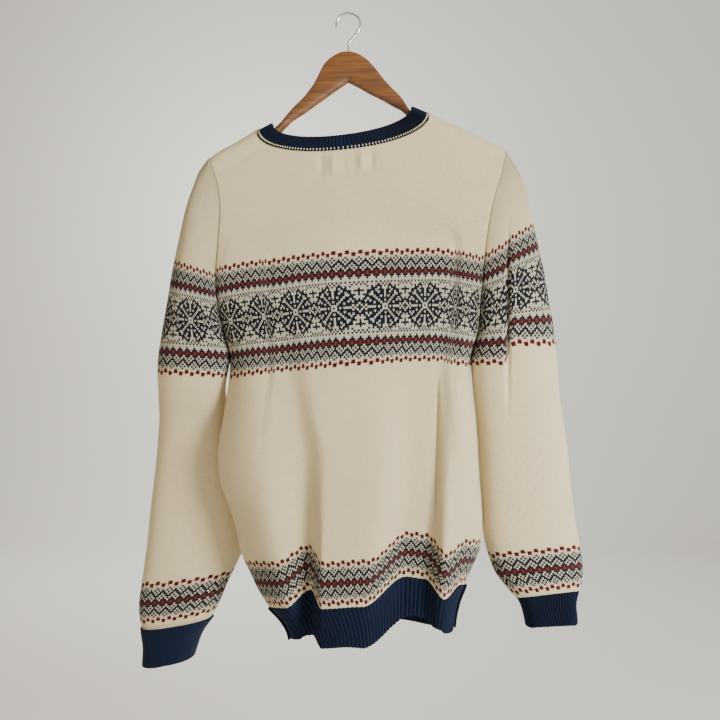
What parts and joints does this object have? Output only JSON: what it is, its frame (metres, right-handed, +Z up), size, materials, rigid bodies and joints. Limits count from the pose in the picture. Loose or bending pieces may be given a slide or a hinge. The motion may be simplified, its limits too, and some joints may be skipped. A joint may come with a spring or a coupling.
{
  "type": "norwegian sweater on a wooden hanger",
  "caption": "Crew-neck knitted pullover with patterned chest, hem and sleeve bands and ribbed edges, hung on a contoured wooden hanger with a wire hook.",
  "frame": {"origin": "the point where the hanger's hook bears on a rail, at the inner top of its arc", "axes": "+Z up; the back of the sweater faces -Y; +X to the right of someone who looks at the back"},
  "size_m": [0.6098, 0.1656, 0.8853],
  "materials": {
    "cream_knit": "matte wool",
    "navy_rib": "matte wool",
    "hanger_wood": "satin lacquer",
    "hook_steel": "polished"
  },
  "bodies": {
    "root": {"back_panel": "cream_knit", "front_panel": "cream_knit", "sleeve_left": "cream_knit", "sleeve_right": "cream_knit", "neckband": "navy_rib", "hem_back": "navy_rib", "hem_front": "navy_rib", "cuff_left": "navy_rib", "cuff_right": "navy_rib", "hanger_body": "hanger_wood", "hanger_hook": "hook_steel"}
  },
  "joints": []
}
